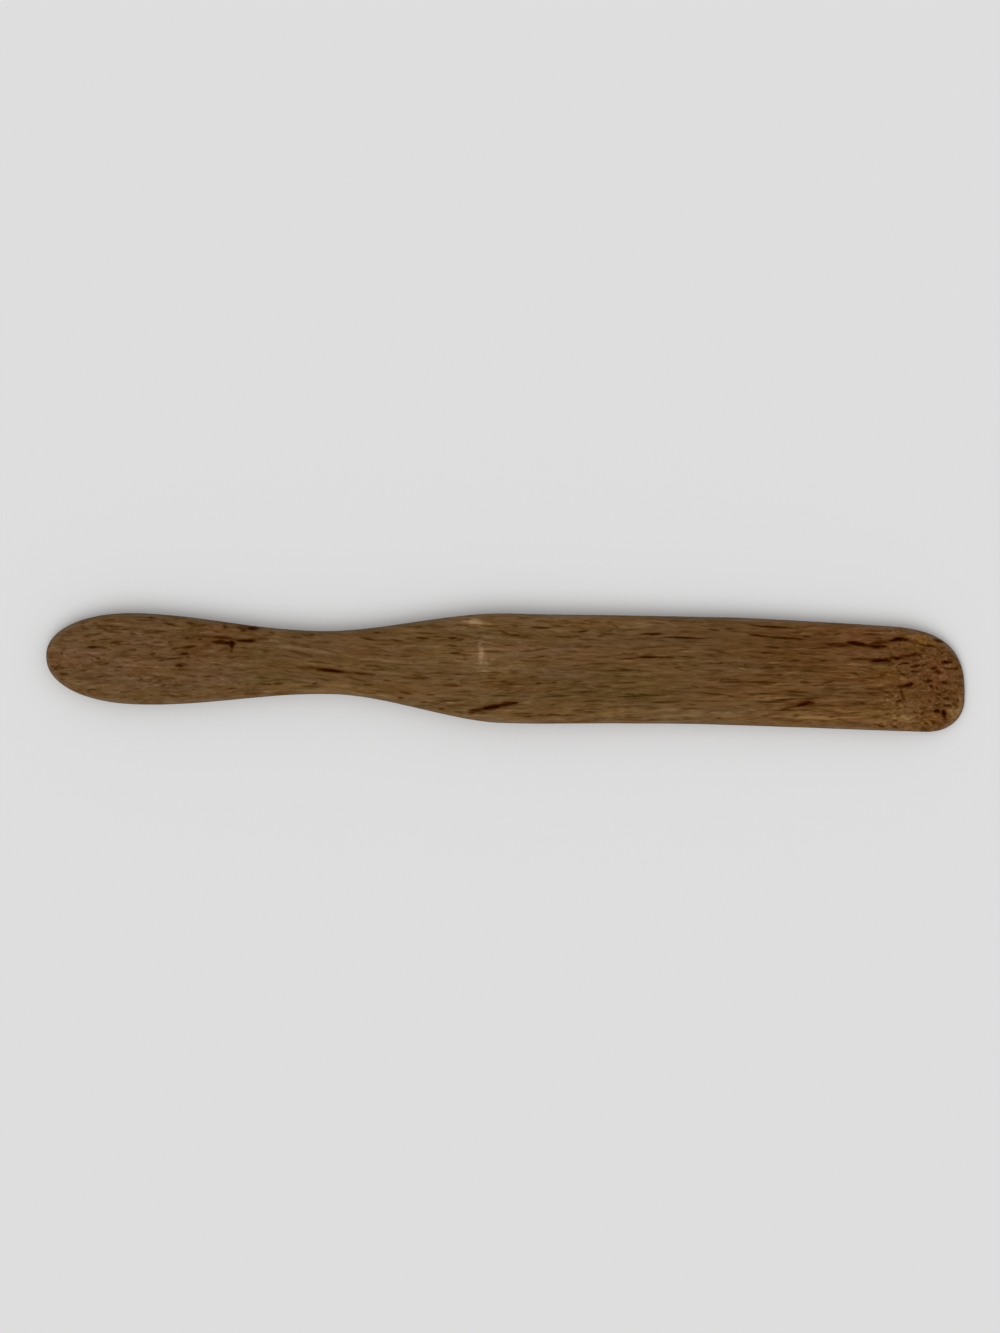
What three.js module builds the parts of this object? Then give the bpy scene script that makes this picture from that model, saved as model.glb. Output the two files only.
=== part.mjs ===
// A flat wooden spurtle, carved from one piece of coarse-grained hardwood.
// It has a round-ended grip, a slim neck, sloping shoulders and a long blade. The last stretch
// of the blade's upper face is worked down to a thin edge for scraping a pan.
// Millimetres. X runs from the grip's end to the blade's tip, Y across it, Z up from the underside.
// The left edge is the one at +Y, the right edge the one at -Y, and the two differ a little.

import * as THREE from 'three';

const overallLength = 300;

// Grip: its rounded end runs up to its widest place
const gripEndLength = 30;
const gripEndFullness = 2.15; // 2 is an ellipse, more is squarer
const gripEndOffset = -0.2; // of the end's foremost point, across
const gripLeftReach = 14.3;
const gripRightAt = 31;
const gripRightReach = 15.4;

// Neck: the narrowest place of each edge
const neckLeftAt = 88;
const neckLeftReach = 10.0;
const neckRightAt = 94;
const neckRightReach = 10.4;

// Shoulders: where each edge reaches the blade's full width
const shoulderLeftAt = 151;
const shoulderLeftReach = 17.4;
const shoulderRightAt = 150;
const shoulderRightReach = 18.3;

// Blade: the left edge swells a little and falls to the tip, the right edge is drawn in and returns
const bladeLeftAt = 218;
const bladeLeftReach = 18.0;
const bladeRightAt = 215;
const bladeRightReach = 17.0;
const tipLeftReach = 16.1;
const tipRightReach = 17.7;

// Tip: a wide round corner on the left and a tight one on the right
const tipOffset = -6.4; // of the tip's foremost point, across
const leftCornerLength = 27;
const leftCornerFullness = 2.7;
const rightCornerLength = 13;
const rightCornerFullness = 2.2;

// Thickness along the middle
const gripThickness = 8.2;
const gripEndDrop = 2.2; // how much lower the upper face lies at the grip's end
const neckThickness = 8.8;
const shoulderThickness = 8.0;
const bladeThickness = 7.2;
const bevelThickness = 6.4;
const bevelLength = 25;
const bevelRoundness = 1.6; // 1 is a flat bevel, more is a rounder one
const tipThickness = 1.7;

// Crown of the upper face: how much lower it lies at the edges than along the middle
const gripCrown = 1.0;
const bladeCrown = 0.35;

// Rounded rims of the two faces
const gripRim = 2.6;
const bladeRim = 1.8;
const undersideRim = 1.5;
const rimWallShare = 0.42; // the most of the wall's height that one rim may take

// Steps of the surface
const gripEndSteps = 16;
const bodySteps = 54;
const tipSteps = 24;
const crossSteps = 8;
const rimSteps = 4;
const undersideRimSteps = 3;

// A share from 0 to 1 that leaves and arrives level
function ease(share) {
  const t = THREE.MathUtils.clamp(share, 0, 1);
  return t * t * (3 - 2 * t);
}

// One quarter of a rounded corner, from 1 at its start to 0 at its end
function quarterRound(share, fullness) {
  const t = THREE.MathUtils.clamp(share, 0, 1);
  return (1 - t ** fullness) ** (1 / fullness);
}

// A value that is level at each station [place, value] and eases from one to the next
function alongStations(x, stations) {
  let value = stations[0][1];
  for (let i = 1; i < stations.length; i += 1) {
    const [from, before] = stations[i - 1];
    const [to, after] = stations[i];
    if (x > from) {
      value = before + (after - before) * ease((x - from) / (to - from));
    }
  }
  return value;
}

const leftStations = [
  [gripEndLength, gripLeftReach],
  [neckLeftAt, neckLeftReach],
  [shoulderLeftAt, shoulderLeftReach],
  [bladeLeftAt, bladeLeftReach],
  [overallLength, tipLeftReach],
];

const rightStations = [
  [gripRightAt, -gripRightReach],
  [neckRightAt, -neckRightReach],
  [shoulderRightAt, -shoulderRightReach],
  [bladeRightAt, -bladeRightReach],
  [overallLength, -tipRightReach],
];

// An edge's place across, drawn in to one point at the grip's end and to one at the tip
function edgeAt(x, stations, cornerLength, cornerFullness) {
  const side = alongStations(x, stations);
  const gripEnd = quarterRound(1 - x / gripEndLength, gripEndFullness);
  const rounded = gripEndOffset + (side - gripEndOffset) * gripEnd;
  const cornerStart = overallLength - cornerLength;
  const corner = quarterRound((x - cornerStart) / cornerLength, cornerFullness);
  return tipOffset + (rounded - tipOffset) * corner;
}

function leftEdge(x) {
  return edgeAt(x, leftStations, leftCornerLength, leftCornerFullness);
}

function rightEdge(x) {
  return edgeAt(x, rightStations, rightCornerLength, rightCornerFullness);
}

// Height of the upper face along the middle of the piece
function ridgeHeight(x) {
  const bevelStart = overallLength - bevelLength;
  const blank = alongStations(x, [
    [gripEndLength, gripThickness],
    [neckLeftAt, neckThickness],
    [shoulderLeftAt, shoulderThickness],
    [bladeLeftAt, bladeThickness],
    [bevelStart, bevelThickness],
  ]);
  const dropShare = THREE.MathUtils.clamp(1 - x / gripEndLength, 0, 1);
  const domed = blank - gripEndDrop * dropShare ** 2;
  const bevelShare = THREE.MathUtils.clamp((x - bevelStart) / bevelLength, 0, 1);
  return domed - (domed - tipThickness) * bevelShare ** bevelRoundness;
}

// Share of the way from the grip's section to the blade's
function bladeShare(x) {
  return ease((x - neckLeftAt) / (shoulderLeftAt - neckLeftAt));
}

// Height of the upper face, which is crowned across
function upperFace(x, y) {
  const left = alongStations(x, leftStations);
  const right = alongStations(x, rightStations);
  const fromMiddle = (y - (left + right) / 2) / ((left - right) / 2);
  const crown = THREE.MathUtils.lerp(gripCrown, bladeCrown, bladeShare(x));
  const thinned = ridgeHeight(x) / gripThickness;
  return ridgeHeight(x) - crown * Math.min(thinned, 1) * fromMiddle ** 2;
}

// Places along X, closer together where the outline turns at both ends
function placesAlong() {
  const places = [];
  for (let i = 0; i < gripEndSteps; i += 1) {
    places.push(gripEndLength * (1 - Math.cos((i / gripEndSteps) * (Math.PI / 2))));
  }
  const cornerStart = overallLength - leftCornerLength;
  for (let i = 0; i < bodySteps; i += 1) {
    places.push(THREE.MathUtils.lerp(gripEndLength, cornerStart, i / bodySteps));
  }
  for (let i = 0; i <= tipSteps; i += 1) {
    places.push(cornerStart + leftCornerLength * Math.sin((i / tipSteps) * (Math.PI / 2)));
  }
  return places;
}

// The outline as one loop: out along the left edge to the tip and back along the right edge
function outlineLoop(places) {
  const last = places.length - 1;
  const loop = places.map((x) => new THREE.Vector2(x, leftEdge(x)));
  for (let i = last - 1; i > 0; i -= 1) {
    loop.push(new THREE.Vector2(places[i], rightEdge(places[i])));
  }
  return loop;
}

// The direction into the piece at each point of the loop
function inwardDirections(loop) {
  return loop.map((point, i) => {
    const before = loop[(i + loop.length - 1) % loop.length];
    const after = loop[(i + 1) % loop.length];
    const along = after.clone().sub(before).normalize();
    return new THREE.Vector2(along.y, -along.x);
  });
}

// A ring of points round the piece, at one angle of a rim: 0 is its wall, a quarter turn its face
function rimRing(loop, inward, angle, isUpper) {
  return loop.map((point, i) => {
    const rim = isUpper ? THREE.MathUtils.lerp(gripRim, bladeRim, bladeShare(point.x)) : undersideRim;
    const face = point.clone().addScaledVector(inward[i], rim);
    const wall = upperFace(face.x, face.y);
    const drop = Math.min(rim, wall * rimWallShare) * (1 - Math.sin(angle));
    const place = point.clone().addScaledVector(inward[i], rim * (1 - Math.cos(angle)));
    return new THREE.Vector3(place.x, place.y, isUpper ? wall - drop : drop);
  });
}

// All rings, from the upper face's border over the wall to the underside's border
function allRings(loop, inward) {
  const rings = [];
  for (let k = rimSteps; k >= 0; k -= 1) {
    rings.push(rimRing(loop, inward, (k / rimSteps) * (Math.PI / 2), true));
  }
  for (let k = 0; k <= undersideRimSteps; k += 1) {
    rings.push(rimRing(loop, inward, (k / undersideRimSteps) * (Math.PI / 2), false));
  }
  return rings;
}

// One face between the two edges of a ring, bridged by rows of points from left to right.
// Each row ends on the ring, and the first and last rows are single points of it.
function faceRows(ring, ringStart, rowCount, steps, points, heightAt) {
  const rows = [[ringStart]];
  for (let i = 1; i < rowCount - 1; i += 1) {
    const left = ring[i];
    const right = ring[ring.length - i];
    const row = [ringStart + i];
    for (let j = 1; j < steps; j += 1) {
      const place = left.clone().lerp(right, j / steps);
      place.z = heightAt(place.x, place.y);
      row.push(points.length);
      points.push(place);
    }
    row.push(ringStart + ring.length - i);
    rows.push(row);
  }
  rows.push([ringStart + rowCount - 1]);
  return rows;
}

// Triangles between two neighbouring rows, either of which may be a single point
function joinRows(row, next, faces, isUpper) {
  const steps = Math.max(row.length, next.length) - 1;
  for (let j = 0; j < steps; j += 1) {
    const a = row[Math.min(j, row.length - 1)];
    const b = row[Math.min(j + 1, row.length - 1)];
    const c = next[Math.min(j + 1, next.length - 1)];
    const d = next[Math.min(j, next.length - 1)];
    for (const triangle of [[a, b, c], [a, c, d]]) {
      if (new Set(triangle).size === 3) {
        faces.push(...(isUpper ? triangle : triangle.reverse()));
      }
    }
  }
}

function carvedBody() {
  const places = placesAlong();
  const loop = outlineLoop(places);
  const rings = allRings(loop, inwardDirections(loop));
  const points = rings.flat();
  const faces = [];

  for (let k = 0; k < rings.length - 1; k += 1) {
    for (let i = 0; i < loop.length; i += 1) {
      const next = (i + 1) % loop.length;
      const a = k * loop.length + i;
      const b = k * loop.length + next;
      const c = (k + 1) * loop.length + next;
      const d = (k + 1) * loop.length + i;
      faces.push(a, b, c, a, c, d);
    }
  }

  const underside = rings.length - 1;
  const upperRows = faceRows(rings[0], 0, places.length, crossSteps, points, upperFace);
  const lowerRows = faceRows(rings[underside], underside * loop.length, places.length, 1, points, () => 0);
  for (let i = 0; i < places.length - 1; i += 1) {
    joinRows(upperRows[i], upperRows[i + 1], faces, true);
    joinRows(lowerRows[i], lowerRows[i + 1], faces, false);
  }

  const geometry = new THREE.BufferGeometry();
  geometry.setAttribute('position', new THREE.Float32BufferAttribute(points.flatMap((p) => p.toArray()), 3));
  geometry.setIndex(faces);
  geometry.computeVertexNormals();
  return geometry;
}

const wood = new THREE.MeshStandardMaterial({ color: '#5e4427', roughness: 0.72, metalness: 0 });

const body = new THREE.Mesh(carvedBody(), wood);
body.name = 'spurtle_body';

// The origin is the middle of the piece's box, on its underside
body.geometry.computeBoundingBox();
const middle = body.geometry.boundingBox.getCenter(new THREE.Vector3());
body.position.set(-middle.x, -middle.y, 0);

const spurtle = new THREE.Group();
spurtle.add(body);

export default spurtle;
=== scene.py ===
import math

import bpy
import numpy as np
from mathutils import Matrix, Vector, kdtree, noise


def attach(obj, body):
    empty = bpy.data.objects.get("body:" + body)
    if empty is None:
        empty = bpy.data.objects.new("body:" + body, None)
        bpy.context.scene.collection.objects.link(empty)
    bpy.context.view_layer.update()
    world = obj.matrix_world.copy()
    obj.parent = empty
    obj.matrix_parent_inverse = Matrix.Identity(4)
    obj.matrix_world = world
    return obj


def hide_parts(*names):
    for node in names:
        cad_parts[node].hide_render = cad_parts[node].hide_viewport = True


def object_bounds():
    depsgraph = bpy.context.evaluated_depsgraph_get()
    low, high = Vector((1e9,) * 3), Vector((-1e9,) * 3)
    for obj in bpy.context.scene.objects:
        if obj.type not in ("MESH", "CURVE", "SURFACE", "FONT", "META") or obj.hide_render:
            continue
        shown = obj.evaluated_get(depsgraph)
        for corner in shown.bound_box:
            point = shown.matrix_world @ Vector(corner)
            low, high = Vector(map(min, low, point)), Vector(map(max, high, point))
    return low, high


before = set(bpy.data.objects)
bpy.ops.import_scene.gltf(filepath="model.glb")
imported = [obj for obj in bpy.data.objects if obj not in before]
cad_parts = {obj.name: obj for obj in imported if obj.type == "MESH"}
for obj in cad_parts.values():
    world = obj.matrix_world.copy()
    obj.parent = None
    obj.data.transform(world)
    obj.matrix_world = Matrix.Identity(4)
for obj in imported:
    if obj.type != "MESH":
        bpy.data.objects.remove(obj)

# A worn wooden spurtle, carved from one piece, lying on a pale floor and seen from above.
# The frame's solid is replaced by a finer mesh of the same form, which adds the maker's uneven
# hand, the worn rim with painted sheen on it, the splits and dents, and the grain. The form is
# worked out in millimetres, measured along from the grip's end, and moved into the frame when its
# mesh is made.

NODE = "spurtle_body"
MM = 0.001
QUARTER = math.pi / 2

solid_low, solid_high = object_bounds()

# The outline's high and low places, (along, across), as the solid has them
LENGTH = 300
GRIP_END_LENGTH = 30
GRIP_END_FULLNESS = 2.15
GRIP_END_OFFSET = -0.2
TIP_OFFSET = -6.4
LEFT_EDGE = [(30, 14.3), (88, 10.0), (151, 17.4), (218, 18.0), (LENGTH, 16.1)]
RIGHT_EDGE = [(31, -15.4), (94, -10.4), (150, -18.3), (215, -17.0), (LENGTH, -17.7)]
LEFT_CORNER_LENGTH = 27
LEFT_CORNER_FULLNESS = 2.7
RIGHT_CORNER_LENGTH = 13
RIGHT_CORNER_FULLNESS = 2.2
MIDDLE = np.array([LENGTH / 2, (LEFT_EDGE[3][1] + RIGHT_EDGE[2][1]) / 2, 0])

# Heights of the upper face along the middle, how it falls at both ends and across, and how far
# its rims and the underside's are rounded
BEVEL_LENGTH = 25
BEVEL_ROUNDNESS = 1.6
TIP_THICKNESS = 1.7
GRIP_THICKNESS = 8.2
GRIP_END_DROP = 2.2
RIDGE = [(30, GRIP_THICKNESS), (88, 8.8), (151, 8.0), (218, 7.2), (LENGTH - BEVEL_LENGTH, 6.4)]
GRIP_CROWN = 1.0
BLADE_CROWN = 0.35
GRIP_RIM = 2.6
BLADE_RIM = 1.8
UNDERSIDE_RIM = 1.5
RIM_WALL_SHARE = 0.42

# Steps of the mesh
GRIP_END_STEPS = 70
BODY_STEPS = 330
TIP_STEPS = 90
CROSS_STEPS = 145
UNDERSIDE_STEPS = 14
RIM_STEPS = 6
WALL_STEPS = 3
UNDERSIDE_RIM_STEPS = 4

# Bands of the bake map that the faces and the two sides fill, from low to high
UPPER_BAND = (0.50, 0.99)
UNDER_BAND = (0.27, 0.48)
LEFT_BAND = (0.14, 0.25)
RIGHT_BAND = (0.01, 0.12)

# The photograph: how large the piece is in it, how it is turned, and what its centre shows
PHOTO_WIDTH = 1000
PHOTO_HEIGHT = 1333
MM_PER_PIXEL = 0.32617
PHOTO_TURN = math.radians(1.5)
PHOTO_CENTRE = np.array([148.11, 0.05])

# Marks on the upper face, read off the photograph: the path along the mark in its pixels, the
# mark's width there, how dark it is and how deep, both from 0 to 1
SPLITS = [
    ([(193, 636), (206, 636.3), (220, 637.5)], 2.6, 0.25, 0.1),
    ([(210, 636.8), (226, 638.2), (238, 640)], 3, 0.5, 0.2),
    ([(227, 639.2), (233, 640), (241, 640.5)], 2.4, 0.55, 0.3),
    ([(235, 640.5), (246, 640.8), (258, 640.2)], 3.4, 0.9, 0.8),
    ([(254, 639.4), (270, 639)], 2.6, 0.4, 0.2),
    ([(211, 641.5), (222, 642), (233, 643.8)], 3.7, 0.8, 0.7),
    ([(230.6, 639.6), (232.4, 643.2), (231.6, 648.6)], 4.6, 0.9, 0.9),
    ([(231, 642.6), (236.5, 643.6)], 2.8, 0.7, 0.4),
    ([(231.8, 645.6), (231.4, 653.4)], 3, 0.6, 0.5), ([(219, 650.5), (231, 647.5)], 3, 0.35, 0.2),
    ([(223.6, 625), (226.6, 628.4)], 4.4, 0.6, 0.7),
    ([(236, 626.6), (246, 627.8), (251, 628)], 3.8, 0.65, 0.8),
    ([(246, 628), (252, 628.4), (259, 628)], 3.8, 0.9, 0.9),
    ([(240, 630.5), (247, 630.5)], 4, 0.45, 0.4),
    ([(297, 667.4), (308, 667.9), (321, 669.2)], 2.4, 0.45, 0.2),
    ([(315, 668.4), (326, 670), (336, 671.2), (348, 672)], 2.9, 0.9, 0.7),
    ([(343, 671.8), (358, 672.9)], 2.4, 0.55, 0.3), ([(354, 672.9), (368, 674)], 2.6, 0.65, 0.4),
    ([(366, 673.9), (376, 674.4)], 2.4, 0.45, 0.2),
    ([(469, 710.8), (479, 709.8), (490, 707.6)], 4, 0.7, 0.6),
    ([(479, 709.6), (491, 707.5), (503, 704.8)], 4.9, 0.92, 1),
    ([(495, 706.4), (506, 703.8), (519, 702.4)], 4.4, 0.8, 0.8),
    ([(826, 644.5), (840, 645), (853, 645)], 3.8, 0.6, 0.3),
    ([(846, 642.3), (856, 643.3), (868, 645.6)], 4.2, 1, 0.8),
    ([(865, 645.4), (876, 646.2), (887, 646.4)], 3.4, 0.9, 0.5),
    ([(868, 644), (880, 642), (891, 642)], 2.8, 0.6, 0.3),
    ([(888, 641), (899, 639), (911, 640)], 3.8, 0.95, 0.6),
    ([(850, 659.5), (864, 658.6), (874, 660)], 3, 0.4, 0.2),
    ([(869, 660.8), (880, 660.2), (892, 660)], 3.7, 1, 0.6),
    ([(884, 659), (893, 658.1), (903, 658.3)], 3.5, 0.95, 0.6),
    ([(899, 657.4), (906, 656.2), (914, 655.2)], 2.8, 0.7, 0.4),
    ([(909, 655.8), (916, 654.2), (922, 656.2)], 3.3, 0.9, 0.5),
    ([(897, 687), (903, 685.8), (909, 686)], 3.6, 0.6, 0.4),
    ([(905.5, 685.8), (909.5, 684.4), (913, 683.8)], 4.4, 1, 0.7),
    ([(900.5, 687), (901.5, 693), (904, 700)], 3, 0.5, 0.4),
    ([(933.5, 711.6), (936.5, 711), (940, 710.6)], 3.9, 0.95, 0.6),
    ([(938, 711.5), (944, 713)], 2.6, 0.45, 0.2),
    ([(942.6, 710), (944.4, 713.5), (945, 717.5)], 4.6, 1, 0.7),
    ([(945, 715), (945.2, 721)], 2.8, 0.45, 0.2),
    ([(782, 708.6), (792, 706.8), (801, 705)], 2.7, 0.5, 0.3),
    ([(795, 706), (803, 704), (809, 702.6), (815, 703.2)], 3.9, 0.95, 0.7),
]

# The darkest flecks of the grain, read off it too, each from (x, y) to (x, y) in its pixels, with
# its width there and its darkness
FLECKS = [
    (87, 647, 99, 647.2, 3.6, 0.9), (175, 665.6, 184, 666, 3.8, 0.95), (53, 668, 59, 669, 4, 0.7),
    (96, 677, 106, 676, 2.8, 0.6), (180, 647.8, 197, 646.3, 3.4, 0.75),
    (180, 654, 190, 653.6, 3.2, 0.7), (184, 621.5, 195, 623.8, 3.4, 0.7),
    (148, 617.5, 155, 617.5, 3.6, 0.5), (163, 622.4, 176, 625.6, 3, 0.5),
    (200, 676.5, 216, 676.5, 2.6, 0.55), (225, 656.8, 248, 656.4, 2.4, 0.5),
    (103, 664, 110, 662.8, 3.2, 0.7), (134, 688.7, 142, 688.7, 2.4, 0.45),
    (319, 679, 331, 681.5, 2.6, 0.5), (359, 637.6, 375, 639.8, 2.8, 0.6),
    (375, 644, 393, 644.6, 2.6, 0.6), (448, 638, 457, 638, 3.4, 0.75),
    (456, 640.2, 465, 639.5, 2.6, 0.75), (449, 652.8, 461, 653.2, 3.6, 0.8),
    (437, 685, 464, 686.4, 2.8, 0.6), (433, 701, 462, 700.4, 3, 0.7),
    (487, 695.8, 510, 695.5, 2.6, 0.5), (510, 713.4, 533, 713.6, 3, 0.5),
    (501, 632, 509, 633.8, 3.4, 0.6), (492, 642.4, 506, 643, 2.6, 0.4),
    (529, 627.4, 550, 628, 3.8, 0.9), (577, 632.4, 589, 630.2, 3.8, 0.85),
    (606, 633.7, 616, 633.7, 2.6, 0.5), (640, 634.2, 663, 633.6, 3.3, 0.85),
    (664, 637, 703, 638.4, 3.3, 0.85), (612, 659.8, 642, 657.6, 2.8, 0.65),
    (660, 657.4, 677, 657.4, 3, 0.7), (528, 658.7, 548, 655.7, 2.8, 0.55),
    (578, 664.5, 607, 663.5, 2.4, 0.45), (620, 696.8, 668, 694.6, 3, 0.65),
    (651, 702.2, 681, 701.8, 3.2, 0.65), (753, 625.6, 801, 629.2, 3, 0.8),
    (748, 634.2, 770, 636.8, 3.4, 0.8), (801, 636.4, 811, 636.6, 3, 0.75),
    (811, 635.2, 822, 632.4, 2.6, 0.6), (719, 682, 748, 681.4, 3, 0.7),
    (821, 683.4, 836, 680.8, 3, 0.65), (808, 648.6, 836, 647, 3, 0.7),
    (868, 692.4, 877, 693.6, 2.4, 0.45), (869, 717, 883, 716, 3.2, 0.5),
    (895.4, 704, 897.4, 700.4, 3.4, 0.75), (895.6, 701.2, 902, 700.6, 3.6, 0.85),
    (897, 666, 902, 663.4, 2.8, 0.7), (900, 663.6, 910, 662.6, 3.4, 0.95),
    (910, 666.8, 920, 665.2, 4.1, 0.85), (910, 671, 919, 671.8, 3.3, 0.9),
    (929.5, 669, 938, 667.4, 3.8, 0.85), (940, 664.8, 944.6, 661.4, 2.8, 0.75),
    (942, 662, 952, 662.2, 4.4, 1), (942, 667.8, 951, 669.2, 2.8, 0.85),
    (949, 669.2, 960, 668.2, 2.8, 0.8), (935, 670.5, 941, 673, 3.1, 0.9),
    (921, 679.8, 927, 681, 2.8, 0.7), (923.5, 681.6, 932, 681, 4.4, 0.95),
    (929.6, 685, 933.4, 688.8, 3.5, 0.9), (943, 698, 951, 698.6, 3.2, 0.85),
    (936, 697.6, 940, 699.4, 3.2, 0.8), (943, 705.4, 952, 705.6, 3.6, 0.75),
    (953, 704.6, 960, 706.8, 3, 0.8), (308, 634.5, 316, 634.8, 3.4, 0.6),
    (269, 632, 276, 633.5, 4, 0.5), (322, 642, 331, 643, 3, 0.5),
    (337, 665.9, 344, 666.7, 3.2, 0.5), (352, 664, 361, 664.6, 2.8, 0.45),
    (274, 683.8, 284, 683.2, 3.8, 0.65), (383, 680.5, 393, 680.7, 2.8, 0.6),
    (293, 651, 312, 656.5, 5, 0.35), (417, 633, 437, 633.7, 2.6, 0.6),
    (416, 637.5, 429, 638.6, 3.4, 0.7), (411, 678.2, 430, 677.6, 4, 0.7),
    (399, 656.5, 414, 656, 3.2, 0.5), (446, 679.2, 454, 679.4, 3.2, 0.5),
    (426, 694.6, 436, 694.6, 3, 0.6), (456, 650.5, 466, 650, 3, 0.5),
    (512, 625.6, 518, 625.8, 3.4, 0.5), (438, 709, 446, 709.2, 4, 0.45),
    (550, 659, 577, 658.6, 2.4, 0.45), (566, 692.6, 592, 691.8, 2.6, 0.45),
    (690, 675.4, 711, 674.4, 2.6, 0.5), (822, 688, 837, 686.8, 3.4, 0.55),
    (832, 634.8, 841, 633.6, 3.4, 0.65), (827, 716.5, 835, 717.3, 3, 0.5),
    (883, 691.6, 892, 693.6, 3, 0.6), (858, 702.2, 865.4, 703.4, 3, 0.55),
    (919.6, 644.6, 935.4, 646.6, 3.4, 0.8), (920.6, 665.6, 927, 664.2, 3.2, 0.8),
    (901, 674, 907, 675.4, 3.6, 0.6), (933, 639.2, 942.6, 642.2, 4, 0.9),
    (937, 694, 942, 696, 3.4, 0.85), (941, 682, 948.4, 683, 3.2, 0.6),
    (913, 717.6, 919, 717.8, 3, 0.5), (872, 723.5, 887, 727.6, 3, 0.75),
    (889, 723.6, 900, 730, 2.8, 0.7), (867, 693, 877, 696, 3, 0.5),
    (936, 686.5, 938.5, 690, 3.2, 0.8), (941.6, 692.2, 949.4, 690, 3, 0.65),
    (934, 706, 941, 704, 3.2, 0.7), (958, 697, 959, 703, 2.6, 0.6), (948, 650, 953, 655, 2.6, 0.4),
    (941, 652, 944, 656, 2.8, 0.45), (852, 672.5, 860, 676, 2.8, 0.5),
    (878, 674, 886, 675.5, 3, 0.55), (896, 714, 901, 716.5, 2.8, 0.6),
    (892, 720.5, 899, 720.5, 2.4, 0.5), (921, 720, 929, 724.5, 2.6, 0.6),
    (862, 688, 884, 690, 2.6, 0.45), (556, 636.4, 573, 637.8, 2.8, 0.65),
    (569, 625.8, 584, 625.5, 2.8, 0.5), (604, 622.5, 614, 622, 2.6, 0.5),
    (650, 622.5, 665, 623.5, 2.8, 0.65), (707, 629, 720, 630.5, 3.2, 0.65),
    (724, 628.6, 733, 628.4, 2.8, 0.5), (712, 650, 729, 653.5, 3, 0.5),
    (716, 663.8, 724, 662.5, 3, 0.6), (726, 663, 733, 663.4, 2.8, 0.5),
    (598, 670.8, 632, 670, 2.6, 0.5), (602, 685.5, 611, 687.5, 2.8, 0.5),
    (690, 685.5, 698, 687.5, 2.8, 0.5), (700, 692.8, 724, 694.6, 2.7, 0.5),
    (586, 709, 603, 709, 2.4, 0.45), (622, 718, 650, 716.5, 2.6, 0.55),
    (102, 628.8, 110, 630.4, 3, 0.45), (109, 632, 122, 632.2, 2.8, 0.5),
    (84, 636.6, 92, 634, 3, 0.4), (90, 634.4, 103, 633.6, 3, 0.45),
    (129, 632.4, 139, 635.4, 3.2, 0.5), (153, 631.6, 165, 631.4, 2.8, 0.45),
    (91, 640.6, 96, 641, 3.4, 0.4), (111, 642.8, 122, 641.8, 2.8, 0.55),
    (152, 642, 164, 642.2, 2.8, 0.5), (168, 643, 172, 641.8, 3.8, 0.5),
    (99, 646.6, 108, 648.4, 3.2, 0.5), (128, 649.8, 137, 648.8, 3, 0.45),
    (149, 654.2, 156, 653, 4.2, 0.55), (172, 649.4, 180, 648, 3.4, 0.55),
    (95, 657.4, 101, 659, 3.6, 0.65), (86, 653, 97, 658, 2.6, 0.4),
    (61.6, 650.6, 62.4, 655.4, 3.4, 0.5), (117, 667, 125, 666.6, 3.2, 0.55),
    (158, 660.8, 165, 660, 3.2, 0.5), (165, 659.4, 176, 658.4, 2.6, 0.4),
    (80, 670.8, 88, 670.4, 3.2, 0.5), (127, 675.2, 132, 676.8, 3.4, 0.5),
    (153, 676.6, 165, 676.4, 2.6, 0.45), (139, 679.4, 144, 678.8, 3.2, 0.5),
    (161, 685.8, 166.5, 685.4, 3.8, 0.5), (190, 681, 200, 681.6, 2.6, 0.4),
    (186, 638, 190, 637.4, 3.4, 0.5), (198.5, 639, 202, 639.4, 3.6, 0.6),
    (390, 639.2, 406, 641.6, 3, 0.55), (437, 639.8, 448, 639.2, 2.4, 0.45),
    (447.5, 645.4, 457, 646, 3, 0.55), (383, 655.2, 396, 655.8, 2.6, 0.5),
    (363, 665, 381, 666.2, 2.8, 0.5), (397, 664.4, 413, 665, 2.4, 0.45),
    (394, 668.8, 401, 668, 2.8, 0.45), (312, 684.4, 318, 682.6, 3.6, 0.5),
    (363, 684.4, 374, 684.8, 3, 0.45), (400, 692, 413, 694.2, 3.2, 0.55),
    (397, 697.4, 404, 698, 3.8, 0.55), (419, 702.6, 429, 701.8, 3, 0.55),
    (373, 632.2, 380, 632.8, 3.4, 0.5), (876, 638.8, 883, 637.6, 2.6, 0.5),
    (886, 639.6, 891, 638.8, 2.4, 0.5), (890, 692.8, 901, 690.4, 2.6, 0.45),
    (883, 714.8, 893, 713.4, 3, 0.5), (841, 691.4, 860, 691, 2.2, 0.4),
    (853, 700, 858.4, 701.8, 2.4, 0.45), (839, 708.8, 852, 706.4, 2.6, 0.4),
    (929, 720.4, 937, 721.8, 3.2, 0.5), (915, 723.8, 921, 723.8, 2.6, 0.5),
    (937, 722, 942, 726, 3, 0.4), (903, 648.8, 908.4, 649.6, 3, 0.4),
    (934.6, 706.4, 938.6, 704.8, 3, 0.5), (928, 700, 931, 703, 2.8, 0.5),
    (936, 685.4, 938.6, 689.6, 2.6, 0.5), (911, 703, 915.4, 704.2, 2.6, 0.45),
    (955, 704.4, 958, 707.6, 3.2, 0.6), (834, 681.6, 847, 681, 2.5, 0.5),
    (744, 682, 779, 682.6, 3.1, 0.7), (818, 634, 831, 634.4, 2.6, 0.55),
    (764, 636.4, 805, 639.6, 3.3, 0.85), (636, 657.4, 662.6, 656.8, 3.5, 0.85),
    (680, 656.6, 697, 657.8, 2.8, 0.6), (568, 632.2, 580, 632, 2.6, 0.6),
    (551, 625, 564, 626.4, 2.8, 0.5), (597, 636.4, 604.6, 636.6, 2.7, 0.45),
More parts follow.
